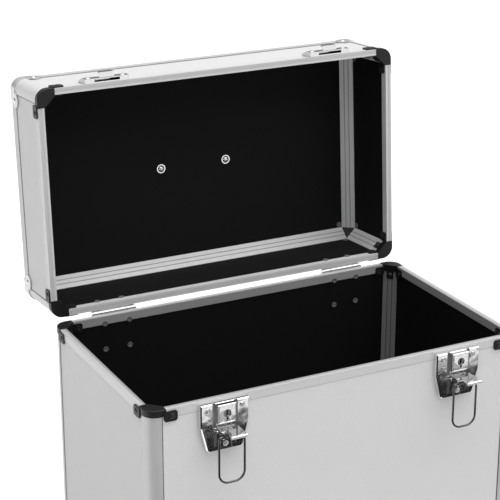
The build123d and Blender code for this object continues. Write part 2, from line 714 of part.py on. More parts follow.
def latch_places():
    """Rivets of one latch plate, through the plate's face, the wall and the lining."""
    spots = [(-PLATE_RIVET_X, PLATE_RIVET_Z, 0), (PLATE_RIVET_X, PLATE_RIVET_Z, 0),
             (0, PLATE_RIVET_LOW, PLATE_BOSS_H)]
    return [((x, -HY - PLATE_RISE - boss, Z_RIM - d), (0, -1, 0), PLATE_RISE + boss + WALL_T)
            for x, d, boss in spots]


def keeper():
    """Keeper on the shut lid: a pressing with two solid lugs, a hollow mouth between them and a hook."""
    w = KEEPER_W / 2
    low = Z_LID + KEEPER_LOW
    plate = block((-w, w), (-HY - KEEPER_T, -HY), (low, low + KEEPER_H))
    plate = fillet(plate.edges().filter_by(Axis.Y).sort_by(Axis.Z)[-2:], KEEPER_ROUND)
    side = polygon((-HY, low), (-HY - LUG_OUT, low), (-HY - LUG_OUT, low + LUG_FLAT),
                   (-HY - KEEPER_T, low + LUG_H), (-HY, low + LUG_H))
    plate += along_x(side, (-w, w))
    inner = MOUTH_SHEET + KEEPER_T
    hollow = polygon((-HY - KEEPER_T, low - PAST), (-HY - LUG_OUT + MOUTH_SHEET, low - PAST),
                     (-HY - LUG_OUT + MOUTH_SHEET, low + LUG_FLAT - MOUTH_SHEET),
                     (-HY - inner, low + LUG_H - LUG_OUT), (-HY - KEEPER_T, low + LUG_H - LUG_OUT))
    plate -= along_x(hollow, (-w + LUG_W, w - LUG_W))
    neck_top = LOOP_HOOK_Z - WIRE_R - HOOK_SLACK
    lip_in = HOOKED_OUT + WIRE_R + HOOK_GAP
    lip_out = lip_in + HOOK_T
    h = HOOK_W / 2
    neck = block((-h, h), (-HY - lip_out, -HY - LUG_OUT), (neck_top - HOOK_NECK_T, neck_top))
    neck = fillet(neck.edges().filter_by(Axis.Y).sort_by(Axis.Z)[-2:], HOOK_NECK_R)
    lip = block((-h, h), (-HY - lip_out, -HY - lip_in), (neck_top - HOOK_NECK_T, neck_top + HOOK_LIP))
    lip = fillet(lip.edges().filter_by(Axis.Y).sort_by(Axis.Z)[-2:], HOOK_LIP_R)
    lip = fillet(lip.faces().sort_by(Axis.Y)[0].edges(), HOOK_ROUND)
    return plate + neck + lip


def keeper_places():
    """Rivets of one keeper."""
    x = KEEPER_W / 2 - LUG_W / 2
    z = Z_LID + KEEPER_LOW + LUG_RIVET_Z
    return [((s * x, -HY - LUG_OUT, z), (0, -1, 0), LUG_OUT + WALL_T) for s in (-1, 1)]


# ---- handle, built on the shut lid ----
def handle_base():
    """Long black base with an ear at each end."""
    w = HANDLE_W / 2
    d = HANDLE_BASE_D / 2
    base = block((-w, w), (-d, d), (HANDLE_Z0, HANDLE_Z0 + HANDLE_BASE_H))
    base = fillet(base.edges().filter_by(Axis.Z), HANDLE_BASE_R)
    base = fillet(base.faces().sort_by(Axis.Z)[-1].edges(), HANDLE_EDGE_R)
    for s in (-1, 1):
        x = sorted((s * (w - HANDLE_EAR_W), s * w))
        ear = block(x, (-HANDLE_EAR_R, HANDLE_EAR_R), (HANDLE_Z0, HANDLE_AXIS_Z))
        ear += rod((x[0], 0, HANDLE_AXIS_Z), (x[1], 0, HANDLE_AXIS_Z), HANDLE_EAR_R)
        base += ear
        base -= rod(*handle_pin_ends(s), HANDLE_PIN_R + PIN_FIXED)
        screw = s * HANDLE_SCREW_X
        ends = ((screw, 0, HANDLE_Z0 - PAST), (screw, 0, HANDLE_Z0 + SCREW_BITE))
        base -= rod(*ends, SCREW_R + HOLE_CLEAR)
    return base


def handle_pin_ends(side):
    """The two ends of one handle pin: through the arm and blind in the ear."""
    ear_in = HANDLE_W / 2 - HANDLE_EAR_W
    near = ear_in - HANDLE_GAP - ARM_W - HANDLE_PIN_OUT
    far = HANDLE_W / 2 - HANDLE_PIN_WALL
    return (side * near, 0, HANDLE_AXIS_Z), (side * far, 0, HANDLE_AXIS_Z)


def handle_pin(side):
    return rod(*handle_pin_ends(side), HANDLE_PIN_R)


def handle_grip():
    """U-shaped grip folded flat towards the hinges."""
    ear_in = HANDLE_W / 2 - HANDLE_EAR_W
    out = ear_in - HANDLE_GAP
    near = GRIP_REACH - GRIP_D / 2
    bar = block((-out, out), (near, near + GRIP_D),
                (HANDLE_AXIS_Z - GRIP_T / 2, HANDLE_AXIS_Z + GRIP_T / 2))
    bar = fillet(bar.edges().filter_by(Axis.X), GRIP_ROUND)
    grip = bar
    for s in (-1, 1):
        x = sorted((s * (out - ARM_W), s * out))
        arm = block(x, (0, GRIP_REACH), (HANDLE_AXIS_Z - ARM_R, HANDLE_AXIS_Z + ARM_R))
        arm += rod((x[0], 0, HANDLE_AXIS_Z), (x[1], 0, HANDLE_AXIS_Z), ARM_R)
        grip += arm
    reach = HANDLE_W / 2
    return grip - rod((-reach, 0, HANDLE_AXIS_Z), (reach, 0, HANDLE_AXIS_Z), HANDLE_PIN_R + PIN_CLEAR)


def handle_screw(side):
    """Pan-head screw from inside the lid into the handle's base."""
    inside = Z_TOP - WALL_IN - WASHER_T
    tip = HANDLE_Z0 + SCREW_BITE
    dome_r = (SCREW_HEAD_R**2 + SCREW_HEAD_H**2) / (2 * SCREW_HEAD_H)
    head = Pos(0, 0, -SCREW_HEAD_H + dome_r) * Sphere(dome_r)
    head = head & Pos(0, 0, -SCREW_HEAD_H / 2) * Cylinder(SCREW_HEAD_R, SCREW_HEAD_H)
    cross = Box(CROSS_L, CROSS_W, CROSS_DEEP) + Box(CROSS_W, CROSS_L, CROSS_DEEP)
    head -= Pos(0, 0, -SCREW_HEAD_H + CROSS_DEEP / 2) * cross
    shank = Pos(0, 0, (tip - inside) / 2) * Cylinder(SCREW_R, tip - inside)
    return Pos(side * HANDLE_SCREW_X, 0, inside) * (head + shank)


def handle_washer(side):
    z = Z_TOP - WALL_IN - WASHER_T / 2
    ring = Cylinder(WASHER_R, WASHER_T) - Cylinder(SCREW_R + HOLE_CLEAR, WASHER_T)
    return Pos(side * HANDLE_SCREW_X, 0, z) * ring


# ---- feet ----
def foot():
    """Rubber foot with a sunk screw hole, under the front left corner of the base."""
    height = Z0 + FLANGE_T
    body = Pos(0, 0, height / 2) * Cone(FOOT_R - FOOT_TAPER, FOOT_R, height)
    sunk = FOOT_SCREW_SINK + FOOT_SCREW_HEAD_H
    body -= Pos(0, 0, sunk / 2) * Cylinder(FOOT_SCREW_HEAD_R + HOLE_CLEAR, sunk)
    body -= Pos(0, 0, height / 2) * Cylinder(FOOT_SCREW_R + HOLE_CLEAR, height)
    return Pos(-HX + FOOT_INSET, -HY + FOOT_INSET, 0) * body


def foot_screw():
    """Screw that holds the foot to the bottom board."""
    tip = Z0 + WALL_IN - LINING_T
    head = Pos(0, 0, FOOT_SCREW_SINK + FOOT_SCREW_HEAD_H / 2)
    head = head * Cylinder(FOOT_SCREW_HEAD_R, FOOT_SCREW_HEAD_H)
    low = FOOT_SCREW_SINK + FOOT_SCREW_HEAD_H
    shank = Pos(0, 0, (low + tip) / 2) * Cylinder(FOOT_SCREW_R, tip - low)
    slot = Pos(0, 0, FOOT_SCREW_SINK + CROSS_DEEP / 2)
    cross = Box(CROSS_L, CROSS_W, CROSS_DEEP) + Box(CROSS_W, CROSS_L, CROSS_DEEP)
    return Pos(-HX + FOOT_INSET, -HY + FOOT_INSET, 0) * (head + shank - slot * cross)


def foot_screw_hole():
    hole = Pos(0, 0, Z0 + WALL_T / 2) * Cylinder(FOOT_SCREW_R + HOLE_CLEAR, WALL_T)
    return Pos(-HX + FOOT_INSET, -HY + FOOT_INSET, 0) * hole


# ---- assemblies ----
def both_latches(places):
    """Places given about x = 0, moved to the two latches."""
    return [((f[0] + s * LATCH_X, f[1], f[2]), o, g) for s in (-1, 1) for f, o, g in places]


def build_base(lock_holes):
    """Every fixed piece of the base except the hinges and latches."""
    corner_rivets, holes = rivets(at_four_corners(rim_corner_places() + metal_corner_places()))
    holes = holes + lock_holes + four(foot_screw_hole())
    z = (Z0 + BOARD_END, Z_RIM - RIM_WEB)
    names = ("front", "back", "left", "right")
    for name, board in zip(names, wall_layers(FLANGE_T, BOARD_T, z)):
        save(f"base_{name}_panel", drilled(board, holes))
    under = Z0 + FLANGE_T
    save("base_bottom_panel", drilled(flat_layer((under, under + BOARD_T)), holes))
    lining = list(wall_layers(FLANGE_T + BOARD_T, LINING_T, z))
    lining.append(flat_layer((under + BOARD_T, under + BOARD_T + LINING_T)))
    save("base_lining", *[drilled(s, holes) for s in lining])
    post = Pos(-HX, -HY, 0) * along_z(corner_section(POST_LEG), (Z0 + EDGE_CUT, Z_RIM - CAP_H))
    save("base_corner_posts", *[drilled(s, holes) for s in four(post)])
    for name, bar in zip(names, rim_bars()):
        save(f"base_{name}_rim", drilled(bar, holes))
    save("base_bottom_edges", *[drilled(s, holes) for s in bottom_edges()])
    save("base_rim_corners", *[drilled(s, holes) for s in four(rim_corner())])
    save("base_inner_corners", *four(inner_corner()))
    save("base_metal_corners", *[drilled(s, holes) for s in four(metal_corner())])
    save("base_corner_rivets", *corner_rivets)
    save("base_feet", *four(foot()))
    save("base_foot_screws", *four(foot_screw()))


def rim_bars():
    """Rim channels of the base: front, back, left, right."""
    front = along_x(Pos(-HY, Z_RIM) * rim_section(), (-HX + RIM_CUT, HX - RIM_CUT))
    left = along_y(Pos(-HX, Z_RIM) * rim_section(), (-HY + RIM_CUT, HY - RIM_CUT))
    return front, flip_y(front), left, flip_x(left)


def bottom_edges():
    """Edge extrusions round the bottom of the base: front, back, left, right."""
    section = corner_section(EDGE_LEG)
    front = along_x(Pos(-HY, Z0) * section, (-HX + EDGE_CUT, HX - EDGE_CUT))
    left = along_y(Pos(-HX, Z0) * section, (-HY + EDGE_CUT, HY - EDGE_CUT))
    return front, flip_y(front), left, flip_x(left)


def build_lid(extra_holes):
    """Every fixed piece of the lid except the hinges, keepers and handle."""
    corner = at_four_corners(rim_corner_places())
    far = [((f[0], f[1], f[2] + BASE_H - LID_H), o, g) for f, o, g in at_four_corners(metal_corner_places())]
    corner_rivets, holes = rivets(lid_places(corner + far))
    holes = holes + extra_holes
    drop = Pos(0, 0, BASE_H - LID_H)
    z = (Z_LID + RIM_WEB, Z_TOP - BOARD_END)
    names = ("front", "back", "left", "right")
    for name, board in zip(names, wall_layers(FLANGE_T, BOARD_T, z)):
        save(f"lid_{name}_panel", opened(drilled(board, holes)))
    over = Z_TOP - FLANGE_T
    save("lid_top_panel", opened(drilled(flat_layer((over - BOARD_T, over)), holes)))
    lining = list(wall_layers(FLANGE_T + BOARD_T, LINING_T, z))
    lining.append(flat_layer((over - BOARD_T - LINING_T, over - BOARD_T)))
    save("lid_lining", *[opened(drilled(s, holes)) for s in lining])
    post = Pos(-HX, -HY, 0) * along_z(corner_section(POST_LEG), (Z_LID + CAP_H, Z_TOP - EDGE_CUT))
    save("lid_corner_posts", *[opened(drilled(s, holes)) for s in four(post)])
    for name, bar in zip(names, rim_bars()):
        save(f"lid_{name}_rim", opened(drilled(to_lid(bar), holes)))
    save("lid_top_edges", *[opened(drilled(to_lid(drop * s), holes)) for s in bottom_edges()])
    save("lid_rim_corners", *[opened(drilled(to_lid(s), holes)) for s in four(rim_corner())])
    save("lid_inner_corners", *[opened(to_lid(drop * s)) for s in four(inner_corner())])
    save("lid_metal_corners", *[opened(drilled(to_lid(drop * s), holes)) for s in four(metal_corner())])
    save("lid_corner_rivets", *[opened(s) for s in corner_rivets])


def build_hinges():
    """Both hinges; returns the rivet places in the base and in the lid."""
    base_all, lid_all, pins = [], [], []
    for side, x in (("left", -HINGE_X), ("right", HINGE_X)):
        base_at, lid_at = hinge_places(x)
        base_all += base_at
        lid_all += lid_at
        base, lid, pin = [Pos(x, 0, 0) * s for s in hinge_pieces()]
        save(f"hinge_{side}_base_leaf", drilled(base, rivets(base_at)[1]))
        save(f"hinge_{side}_lid_leaf", opened(drilled(lid, rivets(lid_at)[1])))
        pins.append(pin)
    save("hinge_pins", *pins)
    return base_all, lid_all


def build_latches():
    """Both latches and keepers; returns the rivet places in the base and in the lid."""
    base_at = both_latches(latch_places())
    lid_at = both_latches(keeper_places())
    base_holes = rivets(base_at)[1]
    lid_holes = rivets(lid_at)[1]
    makers = {"plate": latch_plate, "lock_plate": latch_lock_plate, "lock_barrel": latch_barrel,
              "lever": latch_lever, "loop": latch_loop}
    for part, make in makers.items():
        piece = make()
        for side, x in (("left", -LATCH_X), ("right", LATCH_X)):
            save(f"latch_{side}_{part}", drilled(Pos(x, 0, 0) * piece, base_holes))
    shut = keeper()
    for side, x in (("left", -LATCH_X), ("right", LATCH_X)):
        save(f"keeper_{side}", opened(drilled(Pos(x, 0, 0) * shut, lid_holes)))
    save("latch_lever_pins", *[Pos(x, 0, 0) * latch_pin() for x in (-LATCH_X, LATCH_X)])
    return base_at, lid_at


def build_handle():
    """Handle, its pins, screws and washers; returns the screw holes in the lid."""
    save("handle_base", opened(handle_base()))
    save("handle_grip", opened(handle_grip()))
    save("handle_pins", *[opened(handle_pin(s)) for s in (-1, 1)])
    save("handle_screws", *[opened(handle_screw(s)) for s in (-1, 1)])
    save("handle_washers", *[opened(handle_washer(s)) for s in (-1, 1)])
    low = Z_TOP - WALL_T - PAST
    return [rod((s * HANDLE_SCREW_X, 0, low), (s * HANDLE_SCREW_X, 0, Z_TOP), SCREW_R + HOLE_CLEAR)
            for s in (-1, 1)]


os.makedirs("parts", exist_ok=True)
hinge_base_at, hinge_lid_at = build_hinges()
latch_at, keeper_at = build_latches()
base_rivets, base_holes = rivets(hinge_base_at + latch_at)
lid_rivets, lid_holes = rivets(hinge_lid_at + keeper_at)
save("base_hardware_rivets", *base_rivets)
save("lid_hardware_rivets", *[opened(s) for s in lid_rivets])
build_base(base_holes)
build_lid(lid_holes + build_handle())
print("lever turns", round(LEVER_TURN, 2), "and the loop hooks at z", round(LOOP_HOOK_Z - Z_RIM, 2))
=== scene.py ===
import json
from math import radians, sqrt

import bmesh
import bpy
from bpy.props import FloatProperty, FloatVectorProperty, PointerProperty
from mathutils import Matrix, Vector


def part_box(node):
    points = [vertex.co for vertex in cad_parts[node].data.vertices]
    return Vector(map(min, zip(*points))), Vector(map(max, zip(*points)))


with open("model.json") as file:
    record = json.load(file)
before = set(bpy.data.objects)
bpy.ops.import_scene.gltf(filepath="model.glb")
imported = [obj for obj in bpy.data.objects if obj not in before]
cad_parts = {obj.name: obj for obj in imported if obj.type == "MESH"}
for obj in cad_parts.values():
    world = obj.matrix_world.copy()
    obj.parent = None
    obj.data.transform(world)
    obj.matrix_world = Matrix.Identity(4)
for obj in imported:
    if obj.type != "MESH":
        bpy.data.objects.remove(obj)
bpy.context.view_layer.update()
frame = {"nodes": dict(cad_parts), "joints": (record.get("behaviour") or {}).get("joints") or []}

bl_info = {
    "name": "Record carrying case",
    "version": (1, 0, 0),
    "blender": (4, 5, 0),
    "location": "3D View > Sidebar > Case",
    "description": "Finishes and studio stage for a record case with metal edges",
    "category": "Object",
}

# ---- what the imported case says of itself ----
LID_JOINT = next(j for j in frame["joints"] if j["name"] == "lid_hinge")
HINGE = Vector(LID_JOINT["pos_m"])
LID_OPEN = radians(LID_JOINT["range_deg"][1])
BASE_LOW, BASE_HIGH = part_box("base_bottom_edges")
HALF_W = BASE_HIGH.x
HALF_D = BASE_HIGH.y
Z_FLOOR = BASE_LOW.z
Z_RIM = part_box("base_front_rim")[1].z
RIM_GAP = 2 * (HINGE.z - Z_RIM)
Z_LID = Z_RIM + RIM_GAP
LID_TALL = 0.0825           # height of the lid's walls
Z_TOP = Z_LID + LID_TALL

# ---- lengths that the finishes need, in metres; a pair holds the two ends of a soft step ----
POST_LEG = 0.013                    # posts, edges and rims cover this much of a board
EDGE_LEG = 0.020
RIM_LEG = 0.0075
EDGE_END = 0.016                    # edges that run across stop this far from a corner
HAIR = 0.0001
WALL_SKIN = (0.0032, 0.0048)        # metal deeper than this is inside the case
STRIP_THIRD = 0.00333               # from the inner strip's middle line to each of its grooves
STRIP_REACH = (0.0180, 0.0200)      # where the strip starts, as the sum of the depths from both walls
GROOVE_SIDE = (0.00085, 0.00045)
RIM_FACE = (0.0007, 0.0003)
TAIL_DEPTH = (0.0045, 0.0055)       # a rivet's tail is deeper than this
DARK_RIVETS = (0.032, 0.030)        # rivets nearer to the rim than this hold the black corners
# painted shade: widths of the dark line beside the metal, in place of the step's shadow
SEAM_NEAR = 0.0003                  # a board's dark line beside metal, from full to none
SEAM_FAR = 0.0018
LID_SEAM_FAR = 0.0038

# ---- painted shade: shares of the tone that are taken off; below 0, painted light that makes the tone lighter ----
SEAM_SHADE = 0.93
# painted shade on the base's metal inside the case, painted light on the lid's
BASE_INSIDE_SHADE, LID_INSIDE_SHADE = 0.40, -0.16
# painted shade in the grooves of the strips
GROOVE_SHADE = 0.5
# painted shade on the rims' top face
RIM_FACE_SHADE = 0.14

# ---- strength of single pieces against their finish ----
# strength of the painted shade line under the base's rims
RIM_SEAM_SHADE = 0.25                     # the dark line under the base's rims
# painted shade on the base's lining and painted light on the lid's: two tones of one sheet
BASE_LINING_SHADE, LID_LINING_SHADE = 0.75, 1.05
# painted shade on the edges
EDGE_SHADE = 0.86
# painted shade on the base's posts and painted light on the lid's
BASE_POST, LID_POST = (0.84, 0.4), (1.05, 0.2)      # shade, and share of mirror metal
CORNER_SHEEN = 0.45
BARREL_COLOUR = (0.30, 0.30, 0.30)
DUST_COLOUR = (0.35, 0.34, 0.32)

# ---- how fine each texture is, in patches per metre ----
BOARD_CLOUDS, BOARD_GRAIN = 14.0, 2600.0
LINING_FIBRES, LINING_CLOUDS = 1500.0, 9.0
BRUSH_ACROSS, BRUSH_ALONG = 2600.0, 26.0
METAL_CLOUDS, METAL_SPECKS = 22.0, 900.0
PLASTIC_GRAIN, PLASTIC_SCUFFS = 2300.0, 420.0
PLATE_DRAWN, PLATE_WAVES, PLATE_SPOTS = 1700.0, 85.0, 620.0
RIVET_GRAIN = 1400.0
RUBBER_GRAIN, RUBBER_DUST = 1500.0, 180.0

# ---- how high grain and waves stand, in metres ----
FINE_HIGH, FIBRES_HIGH, PLASTIC_HIGH, RUBBER_HIGH = 0.00002, 0.00006, 0.00003, 0.00008
BRUSHED_HIGH, DRAWN_HIGH = 0.000014, 0.000007
SOFT_WAVES, KEEPER_WAVES, DEEP_WAVES, WIRE_WAVES = 0.00006, 0.00011, 0.00014, 0.00002

# ---- stage: floor, lamp and studio; angles in degrees ----
FLOOR_REACH = 40.0
FLOOR_TONE = 0.62
FLOOR_GLOW = 0.50
KEY_SPREAD = 84.0
KEY_TURN = (17.0, 0.0, 12.0)
SKY_SLOPE = 0.40                    # the studio gets brighter towards the right
BEHIND_LEAN = 0.35                  # its dark part is behind the camera, below LOW_WALLS
BEHIND = (0.1, -0.8)
BEHIND_DARK = 0.55
LOW_WALLS = (0.45, 0.15)
SENSOR = 36.0
VIEW_END = 100.0

# ---- stage: black cloths that the polished parts reflect ----
FLAG_STRIPS = ((-0.22, -0.60), (-0.64, -0.72), (-0.81, -0.87), (-0.90, -1.02))
FLAG_REACH = 2.2
FLAG_LIFT = 0.004
FLAG_BACK_Y = -1.8                  # the cloth behind the camera, and its outline in x and z
FLAG_BACK = ((-1.9, 0.0), (0.2, 0.0), (0.2, 1.15), (-1.9, 1.15))
FLAG_TONE = 0.012


# ---- material trees ----
class Signal:
    """A value in a material: arithmetic on it adds Math nodes to its tree."""

    def __init__(self, finish, socket):
        self.finish = finish
        self.socket = socket

    def math(self, operation, *values):
        return self.finish.node("ShaderNodeMath", {"operation": operation}, dict(enumerate(values)))

    def __add__(self, other):
        return self.math("ADD", self, other)

    def __radd__(self, other):
        return self.math("ADD", other, self)

    def __sub__(self, other):
        return self.math("SUBTRACT", self, other)

    def __rsub__(self, other):
        return self.math("SUBTRACT", other, self)

    def __mul__(self, other):
        return self.math("MULTIPLY", self, other)

    def __rmul__(self, other):
        return self.math("MULTIPLY", other, self)

    def __truediv__(self, other):
        return self.math("DIVIDE", self, other)

    def __abs__(self):
        return self.math("ABSOLUTE", self)

    def least(self, other):
        return self.math("MINIMUM", self, other)

    def most(self, other):
        return self.math("MAXIMUM", self, other)

    def above(self, other):
        return self.math("GREATER_THAN", self, other)

    def ridge(self):
        """0 at whole numbers and 1 halfway between them."""
        return self.math("PINGPONG", self, 0.5) * 2.0


class Finish:
    """A finish being made up: one node tree, of a material or of the world."""

    def __init__(self, tree):
        self.tree = tree
        tree.nodes.clear()

    def node(self, kind, settings=None, inputs=None, output=0):
        """Add one node: its settings first, then its sockets' values or links. Gives one output back."""
        made = self.tree.nodes.new(kind)
        for name, value in (settings or {}).items():
            setattr(made, name, value)
        for name, value in (inputs or {}).items():
            if isinstance(value, Signal):
                self.tree.links.new(value.socket, made.inputs[name])
            else:
                made.inputs[name].default_value = value
        return Signal(self, made.outputs[output]) if made.outputs else None

    def place(self, on_lid=False):
        """The point on the case, in metres; on the lid, where it would be if the lid were shut."""
        point = self.node("ShaderNodeTexCoord", output="Object")
        if not on_lid:
            return point
        return self.node("ShaderNodeVectorRotate", {"rotation_type": "X_AXIS"},
                         {"Vector": point, "Center": tuple(HINGE), "Angle": LID_OPEN})

    def axes(self, point):
        """The three lengths of a point."""
        return [self.node("ShaderNodeSeparateXYZ", inputs={"Vector": point}, output=n) for n in range(3)]

    def point(self, x, y, z):
        return self.node("ShaderNodeCombineXYZ", inputs={"X": x, "Y": y, "Z": z})

    def stretch(self, point, scale):
        return self.node("ShaderNodeVectorMath", {"operation": "MULTIPLY"}, {0: point, 1: scale})

    def noise(self, point, scale, detail=2.0, rough=0.5):
        """Clouds, 0 to 1, with that many per metre."""
        return self.node("ShaderNodeTexNoise", inputs={"Vector": point, "Scale": scale, "Detail": detail,
                                                       "Roughness": rough})

    def soft_step(self, value, low, high):
        """0 below low and 1 above high, smooth between them; the other way round if low is above high."""
        return self.node("ShaderNodeMapRange", {"interpolation_type": "SMOOTHSTEP"},
                         {"Value": value, "From Min": low, "From Max": high})

    def blend(self, share, first, second):
        """Two colours mixed."""
        return self.node("ShaderNodeMix", {"data_type": "RGBA"},
                         {"Factor": share, 6: with_alpha(first), 7: with_alpha(second)}, output=2)

    def tone(self, colour, level):
        """A colour made lighter or darker by a level that varies."""
        grey = self.node("ShaderNodeCombineXYZ", inputs={"X": level, "Y": level, "Z": level})
        return self.node("ShaderNodeMix", {"data_type": "RGBA", "blend_type": "MULTIPLY"},
                         {"Factor": 1.0, 6: with_alpha(colour), 7: grey}, output=2)

    def bump(self, height, depth, under=None):
        """A normal from a height of 0 to 1 and the depth it stands for, in metres."""
        inputs = {"Strength": 1.0, "Distance": depth, "Height": height}
        if under:
            inputs["Normal"] = under
        return self.node("ShaderNodeBump", inputs=inputs)

    def surface(self, **sockets):
        """End in a Principled shader; names use _ for a blank."""
        inputs = {}
        for name, value in sockets.items():
            inputs[name.replace("_", " ").title().replace("Ior", "IOR")] = value
        shader = self.node("ShaderNodeBsdfPrincipled", inputs=inputs)
        self.node("ShaderNodeOutputMaterial", inputs={"Surface": shader})


def with_alpha(colour):
    """A plain colour as Blender's sockets take it."""
    return colour if isinstance(colour, Signal) else (*colour[:3], 1.0)


def plain_grey(tone):
    """One grey for a colour socket."""
    return (tone, tone, tone, 1.0)


def new_material(name):
    material = bpy.data.materials.new(name)
    material.use_nodes = True
    return material, Finish(material.node_tree)


def paint(material, *names):
    """Give CAD nodes this material."""
    for name in names:
        if name not in frame["nodes"]:
            raise RuntimeError(f"the case has no piece called {name}")
        for place in frame["nodes"][name].material_slots:
            place.material = material


# ---- finishes ----
def board_finish(name, looks, plane, on_lid):
    """Pale laminate embossed with a lattice of small diamonds. The plane is two of x, y and z."""
    material, finish = new_material(name)
    point = finish.place(on_lid)
    x, y, z = finish.axes(point)
    along = {"x": x, "y": y, "z": z}
    u, v = (along[a] for a in plane)
    pitch = looks.emboss_pitch * sqrt(2)
    falling = ((u + v) / pitch).ridge()
    rising = ((u - v) / pitch).ridge()
    diamonds = falling.least(rising)
    clouds = finish.noise(point, BOARD_CLOUDS, 3.0)
    grain = finish.noise(point, BOARD_GRAIN, 2.0)
    # painted shade: seam_shade darkens the board beside the metal, in place of the step's shadow
    seam_shade = board_seam_shade(finish, along, plane, on_lid)
    # painted light and shade of the emboss: the tone rises with the diamonds' height and along the falling
    # lines
    level = 0.78 + 0.16 * diamonds + 0.16 * falling + 0.04 * clouds + 0.03 * grain
    colour = finish.tone(looks.board_colour, level * (1.0 - SEAM_SHADE * seam_shade))
    height = 0.45 * diamonds + 0.35 * falling + 0.2 * rising
    bump = finish.bump(grain, FINE_HIGH, finish.bump(height, looks.emboss_depth))
    finish.surface(base_color=colour, roughness=0.40 + 0.12 * grain - 0.05 * diamonds, metallic=0.0,
                   specular_ior_level=0.5, normal=bump)
    return material


def board_seam_shade(finish, along, plane, on_lid):
    """Painted shade: the dark line where a board runs under the metal round it, in place of the shadow of the
    step there.
    """
    across = {"x": HALF_W - POST_LEG, "y": HALF_D - POST_LEG}
    if plane == "xy":
        across = {"x": HALF_W - EDGE_LEG, "y": HALF_D - EDGE_LEG}
    seam_shade = 0.0
    for axis in plane:
        if axis in across:
            gap = across[axis] - abs(along[axis])
            seam_shade = finish.soft_step(gap, SEAM_FAR, SEAM_NEAR).most(seam_shade)
    if "z" in plane:
        low, high = (Z_LID + RIM_LEG, Z_TOP - EDGE_LEG) if on_lid else (Z_FLOOR + EDGE_LEG, Z_RIM - RIM_LEG)
        far = LID_SEAM_FAR if on_lid and "x" in plane else SEAM_FAR
        seam_shade = finish.soft_step(along["z"] - low, SEAM_FAR, SEAM_NEAR).most(seam_shade)
        strong = 1.0 if on_lid else RIM_SEAM_SHADE
        seam_shade = (strong * finish.soft_step(high - along["z"], far, SEAM_NEAR)).most(seam_shade)
    return seam_shade


def lining_finish(name, looks, shade):
    """Black fibre sheet with a fine dull grain."""
    material, finish = new_material(name)
    point = finish.place()
    fibres = finish.noise(finish.stretch(point, (1.0, 1.0, 0.6)), LINING_FIBRES, 3.0, 0.7)
    clouds = finish.noise(point, LINING_CLOUDS, 3.0)
    # shade paints the whole sheet lighter or darker, as painted light or shade
    colour = finish.tone([c * shade for c in looks.lining_colour], 0.55 + 0.6 * fibres + 0.3 * clouds)
    finish.surface(base_color=colour, roughness=0.62 + 0.2 * fibres, specular_ior_level=0.18,
                   normal=finish.bump(fibres, FIBRES_HIGH))
    return material


def extrusion_finish(name, looks, run, on_lid=False, shade=1.0, sheen=None):
    """Satin aluminium, brushed along its run: x, y, z, or ring for edges that go round the box."""
    material, finish = new_material(name)
    point = finish.place(on_lid)
    x, y, z = finish.axes(point)
    fine, slow = BRUSH_ACROSS, BRUSH_ALONG
    if run == "ring":
        side = abs(x).above(HALF_W - EDGE_END - HAIR)
        scale = finish.point(slow + (fine - slow) * side, fine - (fine - slow) * side, fine)
    else:
        scale = tuple(slow if axis == run else fine for axis in "xyz")
    lines = finish.noise(finish.stretch(point, scale), 1.0, 3.0, 0.6)
    clouds = finish.noise(point, METAL_CLOUDS, 2.0)
    specks = finish.soft_step(finish.noise(point, METAL_SPECKS, 1.0), 0.70, 0.78)
    deep_x, deep_y = HALF_W - abs(x), HALF_D - abs(y)
    # painted shade inside the base and painted light inside the lid, by inside_shade
    inside = finish.soft_step(deep_x.least(deep_y), *WALL_SKIN)
    inside_shade = LID_INSIDE_SHADE if on_lid else BASE_INSIDE_SHADE
    # shade paints the whole piece lighter (above 1) or darker (below 1)
    level = (0.90 + 0.14 * lines + 0.06 * clouds - 0.14 * specks) * (shade - inside_shade * inside)
    # painted shade on the rims' top face, which faces up
    rim_face_shade = finish.soft_step(abs(z - (Z_LID if on_lid else Z_RIM)), *RIM_FACE)
    level = level * (1.0 - RIM_FACE_SHADE * rim_face_shade)
    if run in ("z", "ring"):
        one, other = deep_x, deep_y
        if run == "ring":
            one, other = deep_x.least(deep_y), abs(z - (Z_TOP if on_lid else Z_FLOOR))
        # painted shade in the strip's two grooves, where the recesses would be in shadow
        off_groove = abs(abs(one - other) - STRIP_THIRD)
        groove_shade = finish.soft_step(off_groove, *GROOVE_SIDE) * finish.soft_step(one + other, *STRIP_REACH)
        level = level * (1.0 - GROOVE_SHADE * groove_shade)
    finish.surface(base_color=finish.tone(looks.metal_colour, level), metallic=sheen or looks.metal_sheen,
                   roughness=0.36 + 0.14 * lines + 0.06 * clouds, specular_ior_level=0.3,
                   normal=finish.bump(lines, BRUSHED_HIGH))
    return material


def plastic_finish(name, looks):
    """Black moulded plastic with a fine spark-eroded grain and faint scuffs."""
    material, finish = new_material(name)
    point = finish.place()
    grain = finish.noise(point, PLASTIC_GRAIN, 2.0, 0.6)
    rubbed = finish.noise(finish.stretch(point, (1.0, 2.2, 0.7)), PLASTIC_SCUFFS, 2.0)
    scuffs = finish.soft_step(rubbed, 0.60, 0.75)
    colour = finish.tone(looks.plastic_colour, 0.75 + 0.4 * grain + 0.7 * scuffs)
    finish.surface(base_color=colour, roughness=0.34 + 0.16 * grain + 0.10 * scuffs, specular_ior_level=0.4,
                   normal=finish.bump(grain, PLASTIC_HIGH))
    return material


